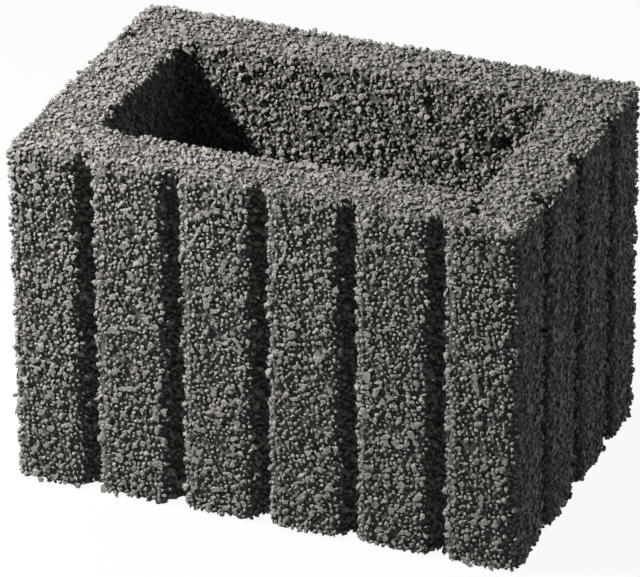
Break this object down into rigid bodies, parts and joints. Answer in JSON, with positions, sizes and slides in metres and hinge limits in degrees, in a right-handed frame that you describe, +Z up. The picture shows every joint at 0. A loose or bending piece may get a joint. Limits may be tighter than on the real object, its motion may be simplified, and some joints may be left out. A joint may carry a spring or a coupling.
{
  "type": "planter block",
  "caption": "Rectangular concrete planter block, open through the middle for soil and roots, with full-height grooves in its front and right faces.",
  "frame": {"origin": "centre of the base, at floor level", "axes": "+X along the long faces, +Y from the front long face to the back one, +Z up through the cavity"},
  "size_m": [0.36, 0.24, 0.25],
  "materials": {
    "concrete": "coarse, open-grained, dark grey cast concrete"
  },
  "bodies": {
    "root": {"planter_block": "concrete"}
  },
  "joints": []
}
